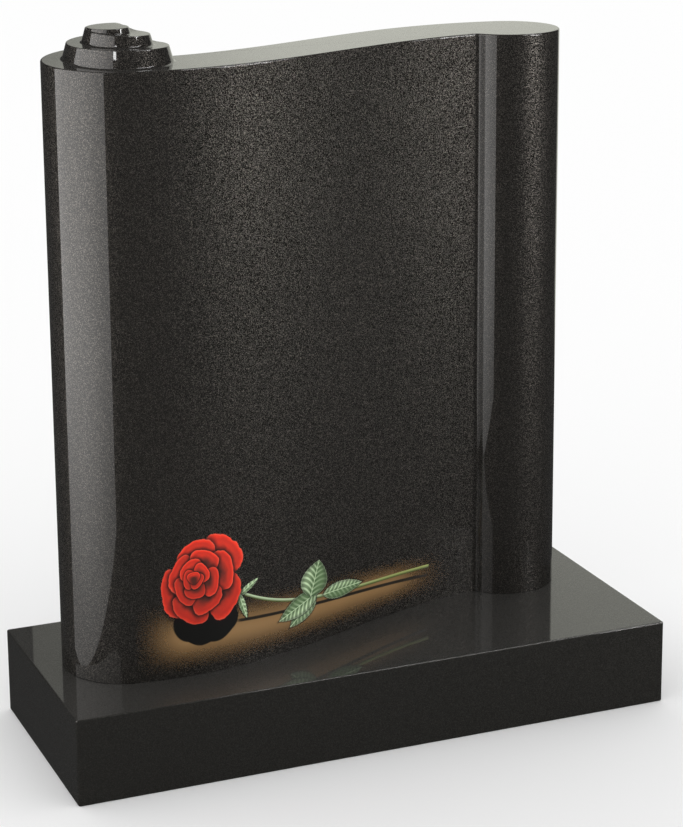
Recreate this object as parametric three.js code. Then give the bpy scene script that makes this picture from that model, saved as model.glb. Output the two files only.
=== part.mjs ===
// A polished black granite headstone, carved as an upright unrolled scroll, on a rectangular base slab.
// Millimetres, +Z up, the front faces -Y, and the origin is the middle of the base's underside.

import * as THREE from 'three';

// Base slab
const BASE_WIDTH = 762;
const BASE_DEPTH = 304;
const BASE_HEIGHT = 106;

// Small chamfer that breaks every polished edge
const ARRIS = 2;

// Headstone height, from the base to the level top of the panel
const PANEL_HEIGHT = 724;

// The panel's front and back are each half a wave, forward at the left and set back at the right
const FRONT_WAVE = { midX: 8, midY: -19, swing: 61, halfLength: 465 };
const BACK_WAVE = { midX: 0, midY: 83, swing: 60, halfLength: 440 };

// Left roll: it runs on smoothly from the panel's front and curls backwards
const LEFT_ROLL_RADIUS = 77.5;
const LEFT_ROLL_JOIN_X = -284.5;

// Right roll: it runs on smoothly from the panel's back and curls forwards
const RIGHT_ROLL_RADIUS = 65;
const RIGHT_ROLL_JOIN_X = 278;

// The coil on top of the left roll. Its turns step up in tiers, and each tier climbs a little on its way
// from the panel, round the front and left, to the back, where it falls again. A tier's shift moves its
// round foot sideways from the middle of the coil, and its bend holds the climb back at first.
const COIL_SHIFT = 11;
const LEDGE_CLIMB = 9.5;
const CLIMB_ENDS = 0.8;
const FALL_STARTS = 0.84;
const TIERS = [
  { foot: 62.9, shift: 0, low: 18, climb: 7.8, climbEnds: CLIMB_ENDS, bend: 1 },
  { foot: 40.3, shift: 0, low: 32, climb: 8.5, climbEnds: 0.6, bend: 2 },
  { foot: 24.8, shift: -10.2, low: 41.1, climb: 0, climbEnds: CLIMB_ENDS, bend: 1 },
];
const TIER_BATTER = 0.26;
const TIER_FLARE = 3;
const FLARE_KNEE = 0.3;
const TIER_ARRIS = 1;
const SHARE_OF_LOW_TIER = 0.25;
const PANEL_LEDGE = 3.6;

// Steps in search of the point where two curves meet
const CREASE_STEPS = 40;

// Facets along each stretch of the outline
const WAVE_FACETS = 30;
const LEFT_ROLL_FACETS = 40;
const RIGHT_ROLL_FACETS = 32;
const COIL_PANEL_FACETS = 20;

const TOP_Z = BASE_HEIGHT + PANEL_HEIGHT;
const TURN = 2 * Math.PI;

// Curves of the plan

function waveY(wave, x) {
  return wave.midY + wave.swing * Math.sin((Math.PI * (x - wave.midX)) / wave.halfLength);
}

function waveSlope(wave, x) {
  const rate = Math.PI / wave.halfLength;
  return wave.swing * rate * Math.cos(rate * (x - wave.midX));
}

// Centre of a roll that touches a wave at joinX; side is 1 where the roll lies behind the wave, -1 in front
function rollCentre(wave, joinX, radius, side) {
  const slope = waveSlope(wave, joinX);
  const reach = (side * radius) / Math.hypot(1, slope);
  return new THREE.Vector2(joinX - slope * reach, waveY(wave, joinX) + reach);
}

function bearing(centre, point) {
  return Math.atan2(point.y - centre.y, point.x - centre.x);
}

// Point where a wave runs into a roll, between an x outside the roll and an x inside it
function crease(wave, centre, radius, outsideX, insideX) {
  let outside = outsideX;
  let inside = insideX;
  for (let step = 0; step < CREASE_STEPS; step += 1) {
    const x = (outside + inside) / 2;
    const clear = Math.hypot(x - centre.x, waveY(wave, x) - centre.y) > radius;
    if (clear) outside = x;
    else inside = x;
  }
  return new THREE.Vector2(inside, waveY(wave, inside));
}

function wavePoints(wave, fromX, toX, facets) {
  return Array.from({ length: facets }, (_, i) => {
    const x = THREE.MathUtils.lerp(fromX, toX, i / facets);
    return new THREE.Vector2(x, waveY(wave, x));
  });
}

function polar(centre, radius, angle) {
  return new THREE.Vector2(centre.x + radius * Math.cos(angle), centre.y + radius * Math.sin(angle));
}

function arcPoints(centre, radius, fromAngle, toAngle, facets) {
  return Array.from({ length: facets }, (_, i) => {
    return polar(centre, radius, THREE.MathUtils.lerp(fromAngle, toAngle, i / facets));
  });
}

// An outline moved inwards by a distance, for outlines that run counterclockwise
function inset(outline, distance) {
  const count = outline.length;
  return outline.map((point, i) => {
    const before = point.clone().sub(outline[(i + count - 1) % count]).normalize();
    const after = outline[(i + 1) % count].clone().sub(point).normalize();
    const lean = distance / (1 + before.dot(after));
    return new THREE.Vector2(point.x - (before.y + after.y) * lean, point.y + (before.x + after.x) * lean);
  });
}

// A closed solid put together from rings of points

class Solid {
  constructor() {
    this.positions = [];
    this.triangles = [];
  }

  ring(points, heightAt) {
    return points.map((point, i) => {
      this.positions.push(point.x, point.y, heightAt(i));
      return this.positions.length / 3 - 1;
    });
  }

  // Facets between two closed rings, from the lower or outer one to the upper or inner one
  band(outer, inner) {
    outer.forEach((corner, i) => {
      const next = (i + 1) % outer.length;
      this.triangles.push(corner, outer[next], inner[next], corner, inner[next], inner[i]);
    });
  }

  // A flat face that fills a ring and looks up, or down where the ring is turned over
  face(ring, looksDown = false) {
    const flat = ring.map((i) => new THREE.Vector2(this.positions[3 * i], this.positions[3 * i + 1]));
    for (const [a, b, c] of THREE.ShapeUtils.triangulateShape(flat, [])) {
      if (looksDown) this.triangles.push(ring[c], ring[b], ring[a]);
      else this.triangles.push(ring[a], ring[b], ring[c]);
    }
  }

  geometry() {
    const geometry = new THREE.BufferGeometry();
    geometry.setAttribute('position', new THREE.Float32BufferAttribute(this.positions, 3));
    geometry.setIndex(this.triangles);
    geometry.computeVertexNormals();
    return geometry;
  }
}

// Base slab: a block with every edge broken

function baseGeometry() {
  const x = BASE_WIDTH / 2;
  const y = BASE_DEPTH / 2;
  const plan = [
    new THREE.Vector2(-x + ARRIS, -y),
    new THREE.Vector2(x - ARRIS, -y),
    new THREE.Vector2(x, -y + ARRIS),
    new THREE.Vector2(x, y - ARRIS),
    new THREE.Vector2(x - ARRIS, y),
    new THREE.Vector2(-x + ARRIS, y),
    new THREE.Vector2(-x, y - ARRIS),
    new THREE.Vector2(-x, -y + ARRIS),
  ];
  const solid = new Solid();
  const underside = solid.ring(inset(plan, ARRIS), () => 0);
  const low = solid.ring(plan, () => ARRIS);
  const high = solid.ring(plan, () => BASE_HEIGHT - ARRIS);
  const top = solid.ring(inset(plan, ARRIS), () => BASE_HEIGHT);
  solid.face(underside, true);
  solid.band(underside, low);
  solid.band(low, high);
  solid.band(high, top);
  solid.face(top);
  return solid.geometry();
}

// Headstone: the scroll's plan, carried straight up, with the coil on the left roll

const leftCentre = rollCentre(FRONT_WAVE, LEFT_ROLL_JOIN_X, LEFT_ROLL_RADIUS, 1);
const rightCentre = rollCentre(BACK_WAVE, RIGHT_ROLL_JOIN_X, RIGHT_ROLL_RADIUS, -1);
const leftJoin = new THREE.Vector2(LEFT_ROLL_JOIN_X, waveY(FRONT_WAVE, LEFT_ROLL_JOIN_X));
const rightJoin = new THREE.Vector2(RIGHT_ROLL_JOIN_X, waveY(BACK_WAVE, RIGHT_ROLL_JOIN_X));
const frontCrease = crease(FRONT_WAVE, rightCentre, RIGHT_ROLL_RADIUS, 0, rightCentre.x);
const backCrease = crease(BACK_WAVE, leftCentre, LEFT_ROLL_RADIUS, 0, leftCentre.x);

const coilCentre = new THREE.Vector2(leftCentre.x + COIL_SHIFT, leftCentre.y);
const creaseAngle = bearing(coilCentre, backCrease);
const joinAngle = bearing(coilCentre, leftJoin) + TURN;

// Share of a turn round the coil, from the back crease past the panel to the front, the left and the back
function coilTurn(angle) {
  return THREE.MathUtils.euclideanModulo((creaseAngle - angle) / TURN, 1);
}

function climbAt(turn, starts, ends) {
  const rise = THREE.MathUtils.clamp((turn - starts) / (ends - starts), 0, 1);
  return rise * (1 - THREE.MathUtils.smoothstep(turn, FALL_STARTS, 1));
}

function ledgeHeight(angle) {
  return TOP_Z + LEDGE_CLIMB * climbAt(coilTurn(angle), coilTurn(joinAngle), CLIMB_ENDS);
}

// Reach of a tier's round foot along one bearing from the middle of the coil
function footReach(tier, angle) {
  const across = tier.shift * Math.sin(angle);
  return tier.shift * Math.cos(angle) + Math.sqrt(tier.foot ** 2 - across ** 2);
}

// Profile of the tiers along one bearing, as radius and height, from the ledge to the flat top
function tierProfile(angle) {
  const turn = coilTurn(angle);
  const profile = [];
  let floor = ledgeHeight(angle);
  for (const tier of TIERS) {
    const foot = footReach(tier, angle);
    const top = TOP_Z + tier.low + tier.climb * climbAt(turn, 0, tier.climbEnds) ** tier.bend;
    const rise = top - floor;
    const flare = Math.min(TIER_FLARE, rise * SHARE_OF_LOW_TIER);
    const arris = Math.min(TIER_ARRIS, rise * SHARE_OF_LOW_TIER);
    const head = foot - TIER_BATTER * (rise - flare);
    profile.push({ radius: foot + flare, z: floor });
    profile.push({ radius: foot + FLARE_KNEE * flare, z: floor + FLARE_KNEE * flare });
    profile.push({ radius: foot, z: floor + flare });
    profile.push({ radius: head, z: top - arris });
    profile.push({ radius: head - arris, z: top });
    floor = top;
  }
  return profile;
}

function headstoneGeometry() {
  const frontRun = wavePoints(FRONT_WAVE, leftJoin.x, frontCrease.x, WAVE_FACETS);
  const rightRun = arcPoints(
    rightCentre,
    RIGHT_ROLL_RADIUS,
    bearing(rightCentre, frontCrease),
    bearing(rightCentre, rightJoin),
    RIGHT_ROLL_FACETS,
  );
  const backRun = wavePoints(BACK_WAVE, rightJoin.x, backCrease.x, WAVE_FACETS);
  const leftRun = arcPoints(
    leftCentre,
    LEFT_ROLL_RADIUS,
    bearing(leftCentre, backCrease),
    bearing(leftCentre, leftJoin) + TURN,
    LEFT_ROLL_FACETS,
  );
  const plan = [...frontRun, ...rightRun, ...backRun, ...leftRun];
  const leftStart = plan.length - leftRun.length;
  const topPlan = inset(plan, ARRIS);
  const rimHeight = (i) => (i > leftStart ? ledgeHeight(bearing(coilCentre, plan[i])) : TOP_Z);

  const solid = new Solid();
  const foot = solid.ring(plan, () => BASE_HEIGHT);
  const shoulder = solid.ring(plan, (i) => rimHeight(i) - ARRIS);
  const rim = solid.ring(topPlan, rimHeight);
  solid.face(foot, true);
  solid.band(foot, shoulder);
  solid.band(shoulder, rim);

  const panelEdge = arcPoints(
    coilCentre,
    TIERS[0].foot + PANEL_LEDGE,
    joinAngle,
    creaseAngle + TURN,
    COIL_PANEL_FACETS,
  ).slice(1);
  const panelRing = solid.ring(panelEdge, () => TOP_Z);
  solid.face([...rim.slice(0, leftStart + 1), ...panelRing.toReversed()]);

  const coilEdge = [...topPlan.slice(leftStart), topPlan[0], ...panelEdge];
  const angles = coilEdge.map((point) => bearing(coilCentre, point));
  const profiles = angles.map(tierProfile);
  let outer = [...rim.slice(leftStart), rim[0], ...panelRing];
  for (let level = 0; level < profiles[0].length; level += 1) {
    const points = angles.map((angle, i) => polar(coilCentre, profiles[i][level].radius, angle));
    const inner = solid.ring(points, (i) => profiles[i][level].z);
    solid.band(outer, inner);
    outer = inner;
  }
  solid.face(outer);
  return solid.geometry();
}

// The finished object

function stone(name, geometry, color) {
  const material = new THREE.MeshStandardMaterial({ color, roughness: 0.08, metalness: 0 });
  const mesh = new THREE.Mesh(geometry, material);
  mesh.name = name;
  return mesh;
}

const memorial = new THREE.Group();
memorial.add(stone('base', baseGeometry(), 0x1d1d1b));
memorial.add(stone('headstone', headstoneGeometry(), 0x262522));

export default memorial;
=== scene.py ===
import math

import bpy
from mathutils import Matrix, Vector


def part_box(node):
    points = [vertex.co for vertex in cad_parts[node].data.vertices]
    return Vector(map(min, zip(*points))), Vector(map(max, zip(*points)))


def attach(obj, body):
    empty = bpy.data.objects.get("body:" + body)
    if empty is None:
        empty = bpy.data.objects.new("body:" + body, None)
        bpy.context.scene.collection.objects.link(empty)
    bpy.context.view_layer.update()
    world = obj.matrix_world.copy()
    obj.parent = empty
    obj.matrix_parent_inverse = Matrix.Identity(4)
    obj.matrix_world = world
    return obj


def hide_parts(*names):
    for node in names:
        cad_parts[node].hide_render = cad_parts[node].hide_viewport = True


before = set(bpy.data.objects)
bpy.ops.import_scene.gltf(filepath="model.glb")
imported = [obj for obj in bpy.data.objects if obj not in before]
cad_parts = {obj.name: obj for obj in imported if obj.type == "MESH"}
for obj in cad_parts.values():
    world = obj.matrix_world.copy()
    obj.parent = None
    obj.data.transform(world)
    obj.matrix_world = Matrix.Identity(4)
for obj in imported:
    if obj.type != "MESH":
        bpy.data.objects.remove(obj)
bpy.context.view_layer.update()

# A polished black granite headstone, carved as an upright unrolled scroll with a rose painted on its
# front, on a rectangular base. Millimetres until a mesh is made; +Z is up and the front faces -Y.

MM = 0.001
TURN = 2 * math.pi
HALVINGS = 40

# Stone sizes; the base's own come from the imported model
base_low, base_high = (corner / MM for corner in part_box("base"))
PANEL_HEIGHT = 724
SEAT = base_high.z
TOP = SEAT + PANEL_HEIGHT
ARRIS = 2.0
ARRIS_STEPS = 5
JOINT_ARRIS = 0.8
BASE_CORNER = 3.0
SHARP_EDGE = math.radians(34)

# The panel's faces are half waves in plan: middle x, middle y, swing and half length
FRONT_WAVE = (8, -19, 61, 465)
BACK_WAVE = (0, 83, 60, 440)
LEFT_RADIUS = 77.5
LEFT_JOIN = -284.5
RIGHT_RADIUS = 65
RIGHT_JOIN = 278
# Hollow rounding where the panel's front runs into the right roll
CREASE_FILLET = 8.0

# Facets along each stretch of the headstone's plan
FRONT_FACETS = 220
FILLET_FACETS = 12
RIGHT_FACETS = 150
BACK_FACETS = 200
LEFT_FACETS = 200
COIL_PANEL_FACETS = 100

# Coil on the left roll
COIL_SHIFT = 11
LEDGE_CLIMB = 9.5
CLIMB_ENDS = 0.8
FALL_STARTS = 0.84
# Each tier: radius of its foot, sideways shift of the foot, lowest top above the panel, climb, where
# the climb ends, and how the climb bends
TIERS = (
    (62.9, 0, 18, 7.8, CLIMB_ENDS, 1),
    (40.3, 0, 32, 8.5, 0.6, 2),
    (24.8, -10.2, 41.1, 0, CLIMB_ENDS, 1),
)
BATTER = 0.26
FLARE = 3
TIER_ARRIS = 1.2
SHARE_OF_LOW_TIER = 0.25
PANEL_LEDGE = 3.6
FLARE_STEPS = 6


# Plan curves

def wave_y(wave, x):
    middle, level, swing, half = wave
    return level + swing * math.sin(math.pi * (x - middle) / half)


def wave_slope(wave, x):
    middle, _, swing, half = wave
    return swing * math.pi / half * math.cos(math.pi * (x - middle) / half)


def on_wave(wave, x):
    return Vector((x, wave_y(wave, x)))


def roll_centre(wave, x, reach):
    """Centre of a roll that touches the wave at x. Reach is its radius, negative for one in front."""
    slope = wave_slope(wave, x)
    away = reach / math.hypot(1, slope)
    return on_wave(wave, x) + Vector((-slope * away, away))


def bearing(centre, point):
    return math.atan2(point.y - centre.y, point.x - centre.x)


def meeting(path, centre, radius, outside, inside):
    """The x where a path comes within a radius, halved down from an x outside and one inside."""
    for _ in range(HALVINGS):
        x = (outside + inside) / 2
        if (path(x) - centre).length > radius:
            outside = x
        else:
            inside = x
    return inside


def crease(wave, centre, radius):
    """Point where the wave runs into a roll."""
    x = meeting(lambda x: on_wave(wave, x), centre, radius, 0, centre.x)
    return on_wave(wave, x)


def run(wave, start, end, count):
    return [on_wave(wave, start + (end - start) * i / count) for i in range(count)]


def polar(centre, radius, angle):
    return centre + radius * Vector((math.cos(angle), math.sin(angle)))


def arc(centre, radius, start, end, count):
    return [polar(centre, radius, start + (end - start) * i / count) for i in range(count)]


def inset(outline, distance):
    """A counterclockwise outline moved inwards."""
    moved = []
    for i, point in enumerate(outline):
        before = (point - outline[i - 1]).normalized()
        after = (outline[(i + 1) % len(outline)] - point).normalized()
        lean = distance / (1 + before.dot(after))
        moved.append(point + lean * Vector((-before.y - after.y, before.x + after.x)))
    return moved


def smooth(value, low, high):
    share = min(max((value - low) / (high - low), 0), 1)
    return share * share * (3 - 2 * share)


# Meshes put together from rings of points

class Shell:
    def __init__(self):
        self.points = []
        self.faces = []

    def ring(self, plan, heights):
        first = len(self.points)
        self.points += [(p.x * MM, p.y * MM, z * MM) for p, z in zip(plan, heights)]
        return list(range(first, len(self.points)))

    def band(self, outer, inner):
        for i in range(len(outer)):
            after = (i + 1) % len(outer)
            self.faces.append((outer[i], outer[after], inner[after], inner[i]))

    def rounded_rim(self, plan, heights, radius, outer):
        """Carries a wall up to its rim and over a rounded edge; returns the ring on top."""
        for step in range(ARRIS_STEPS + 1):
            turn = TURN / 4 * step / ARRIS_STEPS
            drop = radius * (1 - math.sin(turn))
            inner = self.ring(inset(plan, radius * (1 - math.cos(turn))), [z - drop for z in heights])
            self.band(outer, inner)
            outer = inner
        return outer

    def foot(self, plan, height, radius):
        """The underside and its rounded edge; returns the ring where the wall starts."""
        rings = []
        for step in range(ARRIS_STEPS + 1):
            turn = TURN / 4 * step / ARRIS_STEPS
            level = height + radius * (1 - math.cos(turn))
            rings.append(self.ring(inset(plan, radius * (1 - math.sin(turn))), [level] * len(plan)))
        self.faces.append(rings[0][::-1])
        for lower, upper in zip(rings, rings[1:]):
            self.band(lower, upper)
        return rings[-1]

    def piece(self, name, material):
        mesh = bpy.data.meshes.new(name)
        mesh.from_pydata(self.points, [], self.faces)
        mesh.polygons.foreach_set("use_smooth", [True] * len(mesh.polygons))
        mesh.set_sharp_from_angle(angle=SHARP_EDGE)
        mesh.materials.append(material)
        obj = bpy.data.objects.new(name, mesh)
        bpy.context.collection.objects.link(obj)
        return obj


def weigh_normals(obj):
    """Keeps flat and straight faces flat beside their rounded edges."""
    modifier = obj.modifiers.new("flat faces", "WEIGHTED_NORMAL")
    modifier.keep_sharp = True


# Shader values

class Value:
    """A socket in a material's nodes. Arithmetic on values adds the nodes that work it out."""

    def __init__(self, tree, socket):
        self.tree = tree
        self.socket = socket

    def node(self, kind, settings, inputs, output=0):
        made = self.tree.nodes.new(kind)
        for name, setting in settings.items():
            setattr(made, name, setting)
        for name, value in inputs.items():
            if isinstance(value, Value):
                self.tree.links.new(value.socket, made.inputs[name])
            else:
                made.inputs[name].default_value = value
        return Value(self.tree, made.outputs[output])

    def also(self, output):
        return Value(self.tree, self.socket.node.outputs[output])

    def math(self, operation, *values):
        return self.node("ShaderNodeMath", {"operation": operation}, dict(enumerate(values)))

    def __add__(self, other):
        return self.math("ADD", self, other)

    def __sub__(self, other):
        return self.math("SUBTRACT", self, other)

    def __mul__(self, other):
        return self.math("MULTIPLY", self, other)

    def __truediv__(self, other):
        return self.math("DIVIDE", self, other)

    def __pow__(self, other):
        return self.math("POWER", self, other)

    def __radd__(self, other):
        return self.math("ADD", other, self)

    def __rsub__(self, other):
        return self.math("SUBTRACT", other, self)

    def __rmul__(self, other):
        return self.math("MULTIPLY", other, self)

    def __rtruediv__(self, other):
        return self.math("DIVIDE", other, self)

    def __abs__(self):
        return self.math("ABSOLUTE", self)

    def most(self, other):
        return self.math("MAXIMUM", self, other)

    def wave(self):
        return self.math("SINE", self)

    def root(self):
        return self.math("SQRT", self)

    def decay(self):
        return self.math("EXPONENT", self)

    def ramp(self, low, high):
        """0 below low, 1 above high, smooth between; the other way round if low is the greater."""
        settings = {"interpolation_type": "SMOOTHSTEP", "clamp": False}
        inputs = {"Value": self, "From Min": low, "From Max": high}
        return self.node("ShaderNodeMapRange", settings, inputs)

    def blend(self, first, second):
        """The first colour where this is 0 and the second where it is 1."""
        first, second = (c if isinstance(c, Value) else (*c, 1) for c in (first, second))
        return self.node("ShaderNodeMix", {"data_type": "RGBA"}, {0: self, 6: first, 7: second}, 2)

    def scaled(self, factor):
        return self.node("ShaderNodeVectorMath", {"operation": "SCALE"}, {0: self, "Scale": factor})

    def parts(self):
        split = self.node("ShaderNodeSeparateXYZ", {}, {0: self})
        return split, split.also("Y"), split.also("Z")

    def speckle(self, scale, detail=2.0):
        inputs = {"Vector": self, "Scale": scale, "Detail": detail}
        return self.node("ShaderNodeTexNoise", {}, inputs)

    def cells(self, scale):
        """Random numbers, three for each cell of a crystal pattern."""
        found = self.node("ShaderNodeTexVoronoi", {}, {"Vector": self, "Scale": scale}, "Color")
        return found.parts()


def new_material(name):
    material = bpy.data.materials.new(name)
    material.use_nodes = True
    tree = material.node_tree
    shader = Value(tree, tree.nodes["Principled BSDF"].outputs[0])
    place = shader.node("ShaderNodeTexCoord", {}, {}, "Object")
    return material, shader.socket.node, place


def dim(colour, share):
    return tuple(share * c for c in colour)


def feed(shader, **values):
    """Sets the shader's sockets, or links them to worked-out values."""
    for name, value in values.items():
        socket = shader.inputs[name.replace("_", " ")]
        if isinstance(value, Value):
            value.tree.links.new(value.socket, socket)
        else:
            socket.default_value = (*value, 1) if isinstance(value, tuple) else value


# Granite: near-black ground with crystals of about half a millimetre, which catch a lamp, under a
# polished surface, with rare pale sparks and a little dust where the stone faces up. Patterns are
# counted per metre.

CRYSTALS = 1750.0
CRYSTAL_DRIFT = 9.0
GRAIN = 1500.0
GRAIN_DETAIL = 3.0
CRYSTAL_ROUGHNESS = 0.45
GRAIN_ROUGHNESS = 0.08
POLISH_ROUGHNESS = 0.02
# A crystal mirrors so much of its light that an unlit one is no lighter than the ground
MIRRORING = 1.05
SPARK = (0.085, 0.080, 0.076)
SPARK_STARTS = 0.985
SPARK_WHOLE = 0.99
DUST = (0.105, 0.102, 0.096)
DUST_COVER = 0.5


def granite(name, ground, crystal, share, contrast, polish):
    """Share is how much of the stone is crystal, and contrast is how unlike the crystals are."""
    material, shader, place = new_material(name)
    _, _, upward = place.also("Normal").parts()
    chance, tone, luck = place.cells(CRYSTALS)
    drift = place.speckle(CRYSTAL_DRIFT)
    grain = place.speckle(GRAIN, GRAIN_DETAIL)
    flecks = (chance - (1.0 - share * (0.85 + 0.3 * drift))).ramp(0.0, 0.04)
    dark = grain.ramp(0.3, 0.75).blend(dim(ground, 0.85), dim(ground, 1.15))
    brightness = (1.0 - contrast) + contrast * tone ** 3.0
    glint = brightness.blend((0, 0, 0), crystal)
    mirror = MIRRORING - MIRRORING * ground[1] / crystal[1] / brightness
    spark = contrast * luck.ramp(SPARK_STARTS, SPARK_WHOLE)
    dust = upward.ramp(0.8, 1.0) * grain.ramp(0.2, 0.8) * DUST_COVER
    feed(
        shader,
        Base_Color=dust.blend(spark.blend(flecks.blend(dark, glint), SPARK), DUST),
        Metallic=flecks * (1.0 - dust) * (1.0 - spark) * mirror,
        Roughness=CRYSTAL_ROUGHNESS + GRAIN_ROUGHNESS * grain,
        Specular_IOR_Level=0.0,
        Coat_Weight=1.0,
        Coat_Roughness=POLISH_ROUGHNESS,
        Coat_IOR=polish,
    )
    return material


# The painted rose: a bloom, its stem with leaves, their shadows, and a soft glow of tan behind them.
# Places on the front are x and height.

RED = (1.0, 0.030, 0.004)
CRIMSON = (0.32, 0.014, 0.010)
MAROON = (0.090, 0.018, 0.012)
BLUSH = (0.92, 0.26, 0.16)
SHADE = (0.010, 0.004, 0.004)
TAN = (0.31, 0.178, 0.070)
BLACK = (0.006, 0.006, 0.005)
LEAF = (0.075, 0.155, 0.052)
LEAF_LIGHT = (0.78, 0.98, 0.62)
LEAF_DARK = (0.014, 0.028, 0.014)
LIME = (0.40, 0.46, 0.15)
LIME_DARK = (0.07, 0.10, 0.02)

BLOOM = (-198, 219)
BLOOM_STRETCH = 1.14
HEART = (-14, 8)
PETALS = 17
PETAL_TURN = math.radians(137.5)
FIRST_PETAL = 0.9
OUTER_REACH = 32.0
REACH_BEND = 0.85
# Length and width of the heart's petal, and how much longer and wider the outermost is
HEART_PETAL = (7.0, 8.0)
PETAL_GROWTH = (18.0, 21.0)
PETAL_TAPER = 0.25
VIVID = 0.82
VIVID_SWING = 0.18
VIVID_BEARING = 0.5
# Wavering of the petals' edges: waves per metre and strength
SLOW_WOBBLE = (60.0, 0.28)
QUICK_WOBBLE = (230.0, 0.08)

STEM_START = -156.0
STEM_END = 140.0
STEM_LEVEL = 154.0
STEM_RISE = 41.0
STEM_BEND_X = -145.0
STEM_BEND_LENGTH = 75.0
STEM_HALF = 2.5

# The glow lies along a line that falls to the right, and narrows
GLOW_X = -60.0
GLOW_LEVEL = 151.0
GLOW_FALL = 0.03
GLOW_HALF = 31.0
GLOW_NARROWING = 0.035
GLOW_LEFT = (-290.0, -220.0)
GLOW_RIGHT = (175.0, 70.0)
SPRAY = 1100.0
SPRAY_STRENGTH = 1.4

STEM_SHADOW_LEVEL = 164.0
STEM_SHADOW_FALL = 0.072
STEM_SHADOW_DEPTH = 0.95
BLOOM_SHADOW = (-197.0, 172.0)
BLOOM_SHADOW_HALF = (43.0, 28.0)
LOBE_HEIGHT = 3.0
LOBE_X = -192.0
LOBE_RATE = 0.11

LEAF_BULGE = 3.2
LEAF_BEND = 0.7
TOOTH = 0.8
TOOTH_RATE = 0.8
VEIN_RATE = 0.95
VEIN_CURVE = 0.03
LEAF_EDGE = 2.6
PAINT_ROUGHNESS = 0.32
PAINT_IOR = 1.45

# Leaves: root, tip, half width, and how light the leaf is
BLOOM_LEAVES = (
    ((-154, 195), (-126, 212), 3.6, 0.9),
    ((-154, 198), (-143, 164), 4.0, 0.8),
)
STEM_LEAVES = (
    ((-30, 164), (32, 163), 10.0, 0.8),
    ((-42, 166), (-82, 136), 11.0, 0.55),
    ((-40, 170), (-98, 148), 12.5, 0.9),
    ((-50, 167), (-36, 211), 20.0, 0.85),
)


class Painting:
    """Colour and cover of the paint, laid on coat by coat."""

    def __init__(self, colour, cover):
        self.colour = colour
        self.cover = cover

    def tint(self, mask, colour):
        self.colour = mask.blend(self.colour, colour)

    def lay(self, mask, colour):
        self.tint(mask, colour)
        self.cover = self.cover.most(mask)


def axes(across, up, middle, angle):
    """Distances from a point, along a bearing and to its left."""
    x = across - middle[0]
    y = up - middle[1]
    c = math.cos(angle)
    s = math.sin(angle)
    return x * c + y * s, y * c - x * s


def petal(paint, across, up, wobble, middle, angle, length, width, vivid):
    along, aside = axes(across, up, middle, angle)
    s = along / length
    t = aside / width * (1.0 - PETAL_TAPER * s)
    edge = (s * s + t * t).root() + wobble
    paint.tint(edge.ramp(1.25, 0.95) * 0.9, SHADE)
    bowl = (0.60 * edge + 0.42 * s + 1.2 * wobble).ramp(0.12, 0.90)
    dip = edge.ramp(0.55, 0.80) * edge.ramp(0.93, 0.80) * s.ramp(0.0, 0.7)
    rim = edge.ramp(0.92, 0.97) * s.ramp(-0.3, 0.5)
    body = bowl.blend(MAROON, dim(RED, vivid))
    body = (0.45 * dip).blend(body, CRIMSON)
    body = (0.30 * rim * vivid).blend(body, BLUSH)
    paint.lay(edge.ramp(1.0, 0.96), body)


def bloom(paint, x, z, wobble):
    """Petals in a spiral, from the outermost to the heart."""
    across = x - BLOOM[0]
    up = (z - BLOOM[1]) / BLOOM_STRETCH
    for i in range(PETALS):
        inner = i / (PETALS - 1)
        angle = FIRST_PETAL + PETAL_TURN * i
        middle = polar(Vector(HEART) * inner, OUTER_REACH * (1 - inner) ** REACH_BEND, angle)
        length, width = (h + g * (1 - inner) for h, g in zip(HEART_PETAL, PETAL_GROWTH))
        vivid = VIVID + VIVID_SWING * math.sin(angle + VIVID_BEARING)
        petal(paint, across, up, wobble, middle, angle, length, width, vivid)


def leaf(paint, x, z, root, tip, width, light):
    length = math.hypot(tip[0] - root[0], tip[1] - root[1])
    along, aside = axes(x, z, root, math.atan2(tip[1] - root[1], tip[0] - root[0]))
    s = along / length
    side = abs(aside)
    near = s.ramp(-0.08, 0.0) * s.ramp(1.08, 1.0)
    half = LEAF_BULGE * width * s.most(0.0) ** LEAF_BEND * (1.0 - s).most(0.0)
    teeth = TOOTH * abs((along * TOOTH_RATE).wave()) * half.ramp(0.0, 0.4 * width)
    inside = half + teeth - side
    paint.tint((inside + LEAF_EDGE).ramp(0.0, LEAF_EDGE) * near * 0.85, BLACK)
    veins = ((along - side + VEIN_CURVE * side * side) * VEIN_RATE).wave().ramp(-0.3, 1.0)
    lit = 0.25 + 0.75 * aside.ramp(-0.7 * width, 0.7 * width)
    fold = side.ramp(0.0, 0.5 * width)
    body = (light * lit * (0.25 * fold + 0.75 * veins)).blend(LEAF, LEAF_LIGHT)
    body = (inside.ramp(0.45 * width, 0.0) * 0.6).blend(body, LEAF_DARK)
    rib = side.ramp(0.8, 0.2) * 0.7
    rim = inside.ramp(1.2, 0.5) * 0.35
    paint.lay(inside.ramp(0.0, 0.5) * near, rib.most(rim).blend(body, LEAF_LIGHT))


def glow(x, z, spray):
    """The tan glow, sprayed thin at its edges, as a first coat."""
    along = x - GLOW_X
    spread = abs(z - (GLOW_LEVEL - GLOW_FALL * along)) / (GLOW_HALF - GLOW_NARROWING * along)
    tan = spread.ramp(1.25, 0.0) * x.ramp(*GLOW_LEFT) * x.ramp(*GLOW_RIGHT)
    mist = tan * (1.0 + SPRAY_STRENGTH * spray * (1.0 - tan))
    return Painting(tan.blend(dim(TAN, 0.55), TAN), mist.most(0.0))


def stem_shadow(paint, x, z):
    line = abs(z - (STEM_SHADOW_LEVEL - STEM_SHADOW_FALL * (x - STEM_START))).ramp(2.6, 1.4)
    length = x.ramp(STEM_START - 6, STEM_START + 6) * x.ramp(STEM_END + 1, STEM_END - 4)
    paint.lay(line * length * STEM_SHADOW_DEPTH, BLACK)


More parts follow.
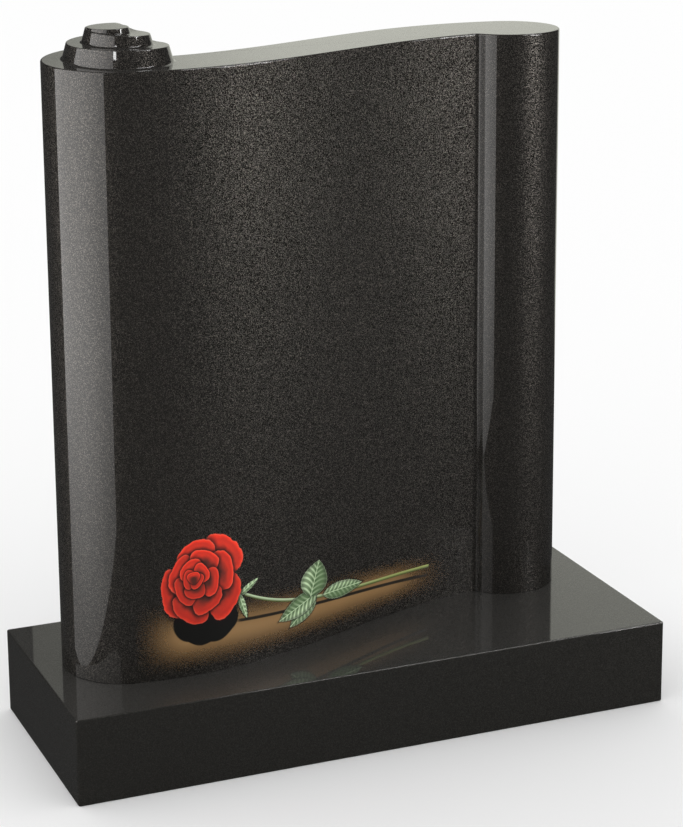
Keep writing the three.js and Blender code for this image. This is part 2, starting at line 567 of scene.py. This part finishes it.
def bloom_shadow(paint, x, z):
    lobes = LOBE_HEIGHT * abs((LOBE_RATE * (x - LOBE_X)).wave())
    across = (x - BLOOM_SHADOW[0]) / BLOOM_SHADOW_HALF[0]
    up = (z - BLOOM_SHADOW[1]) / (BLOOM_SHADOW_HALF[1] + lobes)
    paint.lay((across ** 2.0 + up ** 2.0).root().ramp(1.0, 0.95), BLACK)


def stem(paint, x, z):
    aside = z - (STEM_LEVEL + STEM_RISE * ((x - STEM_BEND_X) / -STEM_BEND_LENGTH).decay())
    length = x.ramp(STEM_START - 4, STEM_START) * x.ramp(STEM_END + 0.5, STEM_END - 0.5)
    light = x.ramp(-120.0, 100.0).blend(dim(LEAF_LIGHT, 0.7), LIME)
    rounding = aside.ramp(-1.8, 1.5).blend(LIME_DARK, light)
    paint.lay(abs(aside).ramp(STEM_HALF, 1.9) * length, rounding)


def wavering(place, rate, strength):
    return (place.speckle(rate, 1.0) - 0.5) * strength


def painted_rose(name, leaves, in_bloom):
    material, shader, place = new_material(name)
    x, _, z = place.scaled(1 / MM).parts()
    paint = glow(x, z, place.speckle(SPRAY, GRAIN_DETAIL) - 0.5)
    stem_shadow(paint, x, z)
    if in_bloom:
        bloom_shadow(paint, x, z)
    stem(paint, x, z)
    for root, tip, width, lightness in leaves:
        leaf(paint, x, z, root, tip, width, lightness)
    if in_bloom:
        bloom(paint, x, z, wavering(place, *SLOW_WOBBLE) + wavering(place, *QUICK_WOBBLE))
    feed(
        shader,
        Base_Color=paint.colour,
        Alpha=paint.cover,
        Roughness=PAINT_ROUGHNESS,
        IOR=PAINT_IOR,
    )
    return material


# Headstone

left_centre = roll_centre(FRONT_WAVE, LEFT_JOIN, LEFT_RADIUS)
right_centre = roll_centre(BACK_WAVE, RIGHT_JOIN, -RIGHT_RADIUS)
left_join = on_wave(FRONT_WAVE, LEFT_JOIN)
right_join = on_wave(BACK_WAVE, RIGHT_JOIN)
front_crease = crease(FRONT_WAVE, right_centre, RIGHT_RADIUS)
back_crease = crease(BACK_WAVE, left_centre, LEFT_RADIUS)


def fillet_at(x):
    """Centre of a fillet that touches the front at x."""
    return roll_centre(FRONT_WAVE, x, -CREASE_FILLET)


fillet_x = meeting(fillet_at, right_centre, RIGHT_RADIUS + CREASE_FILLET, 0, front_crease.x)
fillet_start = on_wave(FRONT_WAVE, fillet_x)
fillet_centre = fillet_at(fillet_x)
coil_centre = left_centre + Vector((COIL_SHIFT, 0))
crease_angle = bearing(coil_centre, back_crease)
join_angle = bearing(coil_centre, left_join) + TURN


def coil_turn(angle):
    """Share of a turn from the back crease past the panel, the front and the left to the back."""
    return (crease_angle - angle) / TURN % 1


def climb_at(turn, starts, ends):
    return min(max((turn - starts) / (ends - starts), 0), 1) * (1 - smooth(turn, FALL_STARTS, 1))


def ledge_height(angle):
    return TOP + LEDGE_CLIMB * climb_at(coil_turn(angle), coil_turn(join_angle), CLIMB_ENDS)


def tier_profile(angle):
    """Radius and height along one bearing, from the ledge up the tiers to the flat top."""
    turn = coil_turn(angle)
    floor = ledge_height(angle)
    profile = []
    for foot, shift, low, climb, ends, bend in TIERS:
        reach = shift * math.cos(angle) + math.sqrt(foot ** 2 - (shift * math.sin(angle)) ** 2)
        top = TOP + low + climb * climb_at(turn, 0, ends) ** bend
        rise = top - floor
        flare = min(FLARE, rise * SHARE_OF_LOW_TIER)
        edge = min(TIER_ARRIS, rise * SHARE_OF_LOW_TIER)
        head = reach - BATTER * (rise - flare)
        for step in range(FLARE_STEPS + 1):
            turned = TURN / 4 * step / FLARE_STEPS
            out, up = 1 - math.sin(turned), 1 - math.cos(turned)
            profile.append((reach + flare * out, floor + flare * up))
        for step in range(ARRIS_STEPS + 1):
            turned = TURN / 4 * step / ARRIS_STEPS
            back, down = 1 - math.cos(turned), 1 - math.sin(turned)
            profile.append((head - edge * back, top - edge * down))
        floor = top
    return profile


def headstone(material):
    front = run(FRONT_WAVE, left_join.x, fillet_x, FRONT_FACETS)
    touch = bearing(fillet_centre, fillet_start)
    leave = bearing(fillet_centre, right_centre)
    fillet = arc(fillet_centre, CREASE_FILLET, touch, leave, FILLET_FACETS)
    touch = leave - TURN / 2
    leave = bearing(right_centre, right_join)
    right = arc(right_centre, RIGHT_RADIUS, touch, leave, RIGHT_FACETS)
    back = run(BACK_WAVE, right_join.x, back_crease.x, BACK_FACETS)
    touch = bearing(left_centre, back_crease)
    leave = bearing(left_centre, left_join) + TURN
    left = arc(left_centre, LEFT_RADIUS, touch, leave, LEFT_FACETS)
    plan = front + fillet + right + back + left
    start = len(plan) - len(left)
    heights = [TOP] * (start + 1)
    heights += [ledge_height(bearing(coil_centre, point)) for point in plan[start + 1:]]

    shell = Shell()
    rim = shell.rounded_rim(plan, heights, ARRIS, shell.foot(plan, SEAT, JOINT_ARRIS))
    ledge = TIERS[0][0] + PANEL_LEDGE
    panel_edge = arc(coil_centre, ledge, join_angle, crease_angle + TURN, COIL_PANEL_FACETS)[1:]
    panel_ring = shell.ring(panel_edge, [TOP] * len(panel_edge))
    shell.faces.append(rim[:start + 1] + panel_ring[::-1])

    outer = rim[start:] + [rim[0]] + panel_ring
    corners = [Vector(shell.points[i][:2]) / MM for i in outer]
    angles = [bearing(coil_centre, corner) for corner in corners]
    profiles = [tier_profile(angle) for angle in angles]
    for level in range(len(profiles[0])):
        reaches, heights = zip(*(profile[level] for profile in profiles))
        plan = [polar(coil_centre, reach, angle) for reach, angle in zip(reaches, angles)]
        inner = shell.ring(plan, heights)
        shell.band(outer, inner)
        outer = inner
    shell.faces.append(outer)
    return shell.piece("scroll_headstone", material)


def base(material):
    x = base_high.x - BASE_CORNER
    y = base_high.y - BASE_CORNER
    plan = []
    for i, corner in enumerate(((x, -y), (x, y), (-x, y), (-x, -y))):
        first = TURN / 4 * (i - 1)
        plan += arc(Vector(corner), BASE_CORNER, first, first + TURN / 4, ARRIS_STEPS)
        plan.append(polar(Vector(corner), BASE_CORNER, first + TURN / 4))
    shell = Shell()
    rim = shell.rounded_rim(plan, [SEAT] * len(plan), ARRIS, shell.foot(plan, base_low.z, ARRIS))
    shell.faces.append(rim)
    return shell.piece("base_slab", material)


# The paint lies on the front face as two films: where each starts and ends, and its top

FILM_LIFT = 0.12
FILM_STEP = 2.0
FILM_FOOT = SEAT + 3
BLOOM_FILM = (-284, -108, 296)
STEM_FILM = (-108, 184, 220)


def film(name, material, start, end, top):
    shell = Shell()
    columns = math.ceil((end - start) / FILM_STEP)
    rows = math.ceil((top - FILM_FOOT) / FILM_STEP)
    xs = [start + (end - start) * i / columns for i in range(columns + 1)]
    away = [Vector((wave_slope(FRONT_WAVE, x), -1)).normalized() for x in xs]
    level = [on_wave(FRONT_WAVE, x) + FILM_LIFT * out for x, out in zip(xs, away)]
    heights = [FILM_FOOT + (top - FILM_FOOT) * j / rows for j in range(rows + 1)]
    rings = [shell.ring(level, [height] * len(xs)) for height in heights]
    for lower, upper in zip(rings, rings[1:]):
        for i in range(columns):
            shell.faces.append((lower[i], lower[i + 1], upper[i + 1], upper[i]))
    return shell.piece(name, material)


headstone_granite = granite(
    "headstone granite",
    ground=(0.0128, 0.0122, 0.0109),
    crystal=(0.165, 0.150, 0.134),
    share=0.45,
    contrast=0.88,
    polish=1.5,
)
base_granite = granite(
    "base granite",
    ground=(0.0158, 0.0153, 0.0138),
    crystal=(0.060, 0.058, 0.053),
    share=0.35,
    contrast=0.2,
    polish=1.36,
)
bloom_paint = painted_rose("rose bloom paint", BLOOM_LEAVES, True)
stem_paint = painted_rose("rose stem paint", STEM_LEAVES, False)

stone = headstone(headstone_granite)
weigh_normals(stone)
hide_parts("headstone")
slab = base(base_granite)
weigh_normals(slab)
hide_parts("base")
bloom_film = film("rose_bloom_paint", bloom_paint, *BLOOM_FILM)
stem_film = film("rose_stem_paint", stem_paint, *STEM_FILM)
for piece in (stone, slab, bloom_film, stem_film):
    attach(piece, "root")


# Floor, light and camera, in metres

def card(name, corners, strength, tint=(1, 1, 1)):
    """A lit card that shows only as a reflection in the polish. Its strength may change across it."""
    mesh = bpy.data.meshes.new(name)
    mesh.from_pydata([Vector(c) for c in corners], [], [(0, 1, 2, 3)])
    material, shader, place = new_material(name)
    feed(shader, Base_Color=(0, 0, 0), Specular_IOR_Level=0.0)
    if callable(strength):
        lit = strength(*place.parts()).blend((0, 0, 0), tint)
        feed(shader, Emission_Color=lit, Emission_Strength=1.0)
    else:
        feed(shader, Emission_Color=tint, Emission_Strength=strength)
    mesh.materials.append(material)
    obj = bpy.data.objects.new(name, mesh)
    bpy.context.collection.objects.link(obj)
    obj.visible_camera = False
    obj.visible_diffuse = False
    obj.visible_shadow = False


def facing(target, azimuth, elevation, distance, width, tall):
    """Corners of a rectangle that faces a point, at a bearing and an elevation in degrees."""
    a = math.radians(azimuth)
    e = math.radians(elevation)
    out = Vector((math.cos(a) * math.cos(e), math.sin(a) * math.cos(e), math.sin(e)))
    side = Vector((-math.sin(a), math.cos(a), 0)) * width / 2
    rise = out.cross(side).normalized() * tall / 2
    middle = Vector(target) + out * distance
    return (middle - side - rise, middle + side - rise, middle + side + rise, middle - side + rise)


def board_light(x, y, z):
    """Dims towards the foot and the front."""
    return (0.30 + 0.70 * z.ramp(-0.2, 0.42)) * (0.57 + 0.43 * y.ramp(-0.73, -0.1))


def backdrop_light(x, y, z):
    """Dims to the left and a little downwards."""
    return (0.38 + 0.62 * x.ramp(0.1, 1.05)) * (0.8 + 0.2 * z.ramp(0.9, 1.2))


LEFT_BOARD = ((-0.655, -0.732, 0.03), (-1.2, 0.48, -0.26), (-1.2, 0.48, 2.2), (-0.60, -0.76, 2.2))
LEFT_BOARD_TINT = (3.2, 3.15, 3.10)
BACKDROP = ((0.29, 2.6, -0.5), (3.6, 2.6, -0.5), (3.6, 2.6, 3.2), (0.29, 2.6, 3.2))
BACKDROP_TINT = (0.91, 0.92, 0.82)
COIL_TOP = (-0.27, -0.03, 0.86)
PANEL = (0.05, -0.02, 0.75)
# Lamps: the point each faces, its bearing and elevation from there, distance, width, height, strength
LAMPS = {
    "front_lamp": (COIL_TOP, -112.5, 22.15, 2.0, 0.20, 0.05, 18.0),
    "coil_lamp": (COIL_TOP, -30, 20.5, 3.5, 0.73, 0.27, 28.0),
    "high_lamp": (PANEL, -42, 50, 3.2, 1.7, 0.35, 25.0),
    "right_lamp": (PANEL, -48, -3.0, 2.2, 0.8, 0.16, 80.0),
}
FLOOR_COLOUR = (0.90, 0.90, 0.90)
FLOOR = ((-30, -30, 0), (30, -30, 0), (30, 30, 0), (-30, 30, 0))
SKY = (1.1, 1.1, 1.1)
SKY_IN_POLISH = (0.05, 0.05, 0.05)

card("left_board", LEFT_BOARD, board_light, LEFT_BOARD_TINT)
card("backdrop", BACKDROP, backdrop_light, BACKDROP_TINT)
for lamp, (*spot, strength) in LAMPS.items():
    card(lamp, facing(*spot), strength)

floor_mesh = bpy.data.meshes.new("floor")
floor_mesh.from_pydata(FLOOR, [], [(0, 1, 2, 3)])
floor_material, floor_shader, _ = new_material("pale floor")
feed(floor_shader, Base_Color=FLOOR_COLOUR, Roughness=1.0, Specular_IOR_Level=0.0)
floor_mesh.materials.append(floor_material)
floor = bpy.data.objects.new("floor", floor_mesh)
bpy.context.collection.objects.link(floor)
floor.visible_glossy = False

scene = bpy.context.scene
scene.view_settings.view_transform = "Standard"
world = bpy.data.worlds.new("studio")
scene.world = world
world.use_nodes = True
sky = world.node_tree.nodes["Background"]
sky_value = Value(world.node_tree, sky.outputs[0])
glossy = sky_value.node("ShaderNodeLightPath", {}, {}, "Is Glossy Ray")
feed(sky, Color=glossy.blend(SKY, SKY_IN_POLISH))

CAMERA = (-1.0747, -2.6371, 1.2386)
LENS = 105.92
LENS_SHIFT = -0.15
YAW = math.radians(22.379)
PITCH = math.radians(13.826)
ROLL = math.radians(0.418)
ahead = math.cos(PITCH)
forward = Vector((math.sin(YAW) * ahead, math.cos(YAW) * ahead, -math.sin(PITCH)))
level = Vector((math.cos(YAW), -math.sin(YAW), 0))
down = forward.cross(level)
right = level * math.cos(ROLL) + down * math.sin(ROLL)
up = level * math.sin(ROLL) - down * math.cos(ROLL)
lens = bpy.data.cameras.new("camera")
lens.lens = LENS
lens.shift_y = LENS_SHIFT
camera = bpy.data.objects.new("camera", lens)
turned = Matrix((right, up, -forward)).transposed()
camera.matrix_world = Matrix.Translation(CAMERA) @ turned.to_4x4()
bpy.context.collection.objects.link(camera)
scene.camera = camera
